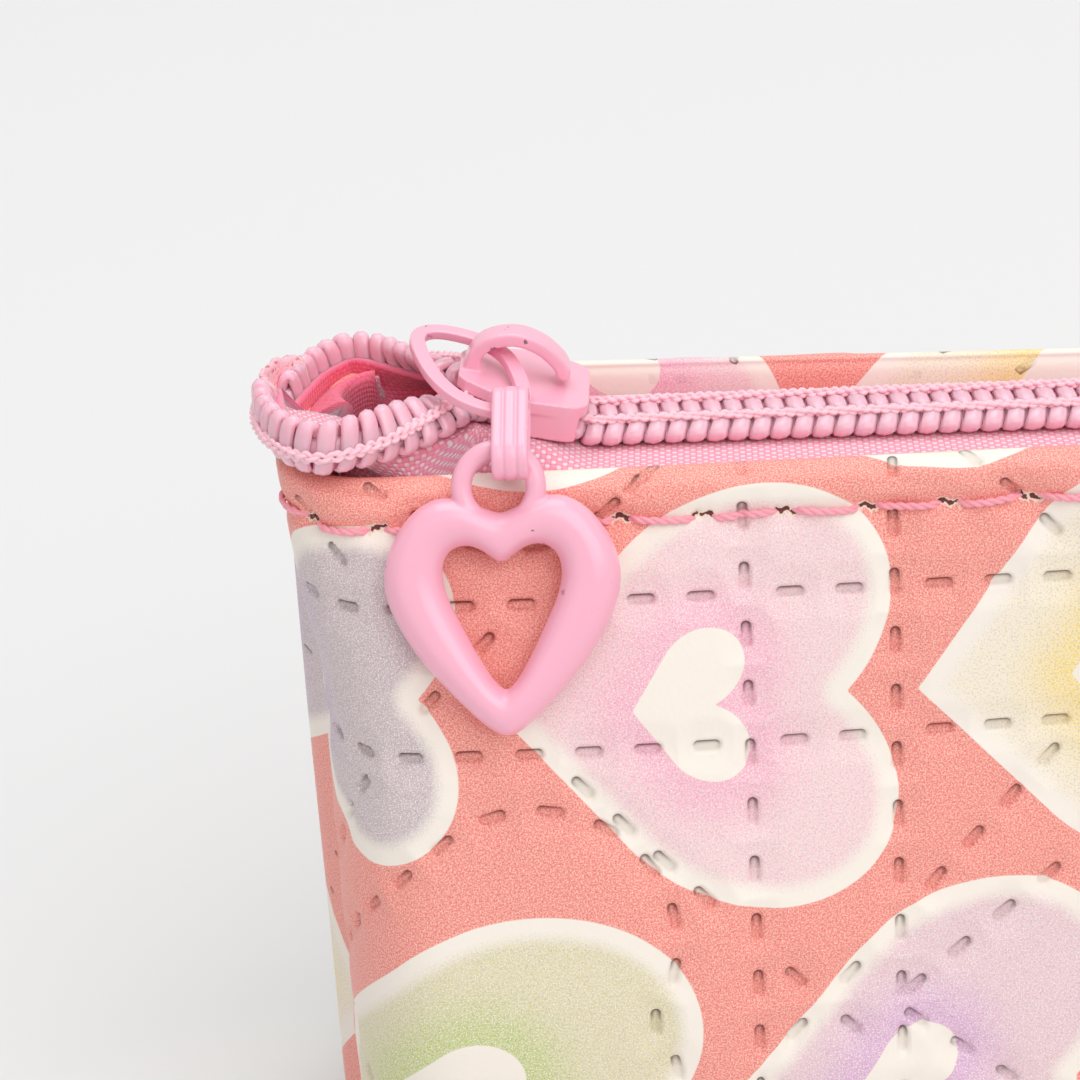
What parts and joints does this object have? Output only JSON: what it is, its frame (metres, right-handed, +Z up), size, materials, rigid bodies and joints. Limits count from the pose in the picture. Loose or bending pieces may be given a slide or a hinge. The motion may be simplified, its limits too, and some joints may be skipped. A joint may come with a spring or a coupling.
{
  "type": "pencil pouch",
  "caption": "Zipped boxy pencil pouch in quilted heart-printed sheet, with a coil zip, a pull ring and an open heart charm.",
  "frame": {"origin": "middle of the flat base's underside", "axes": "+Z up, X along the zip with the slider at the -X end, the front of the pouch faces -Y"},
  "size_m": [0.207, 0.0438, 0.0705],
  "materials": {
    "printed_vinyl": "satin printed sheet",
    "lining_cloth": "plain woven cloth",
    "woven_tape": "woven tape",
    "nylon_coil": "glossy monofilament",
    "painted_zinc": "satin paint"
  },
  "bodies": {
    "pouch": {"front_panel": "printed_vinyl", "back_panel": "printed_vinyl", "base_panel": "printed_vinyl", "front_lining": "lining_cloth", "back_lining": "lining_cloth", "base_lining": "lining_cloth", "zip_tape_front": "woven_tape", "zip_tape_back": "woven_tape", "coil_front": "nylon_coil", "coil_back": "nylon_coil"},
    "slider": {"slider_body": "painted_zinc"},
    "ring": {"pull_ring": "painted_zinc"},
    "link": {"link_band": "painted_zinc"},
    "charm": {"heart_charm": "painted_zinc"}
  },
  "joints": [
    {"name": "slider_slide", "type": "slide", "parent": "pouch", "child": "slider", "axis": [1, 0, 0], "range_m": [0, 0.17], "deforming": ["coil_front", "coil_back", "zip_tape_front", "zip_tape_back"]},
    {"name": "ring_hinge", "type": "hinge", "parent": "slider", "child": "ring", "pos_m": [-0.08605, 0, 0.06842], "axis": [1, 0, 0], "range_deg": [-22, 0]},
    {"name": "link_hinge", "type": "hinge", "parent": "ring", "child": "link", "pos_m": [-0.08658, -0.007, 0.06735], "axis": [1, 0, 0], "range_deg": [-60, 0]},
    {"name": "charm_hinge", "type": "hinge", "parent": "link", "child": "charm", "pos_m": [-0.08658, -0.01063, 0.06566], "axis": [1, 0, 0], "range_deg": [-70, 0]}
  ]
}
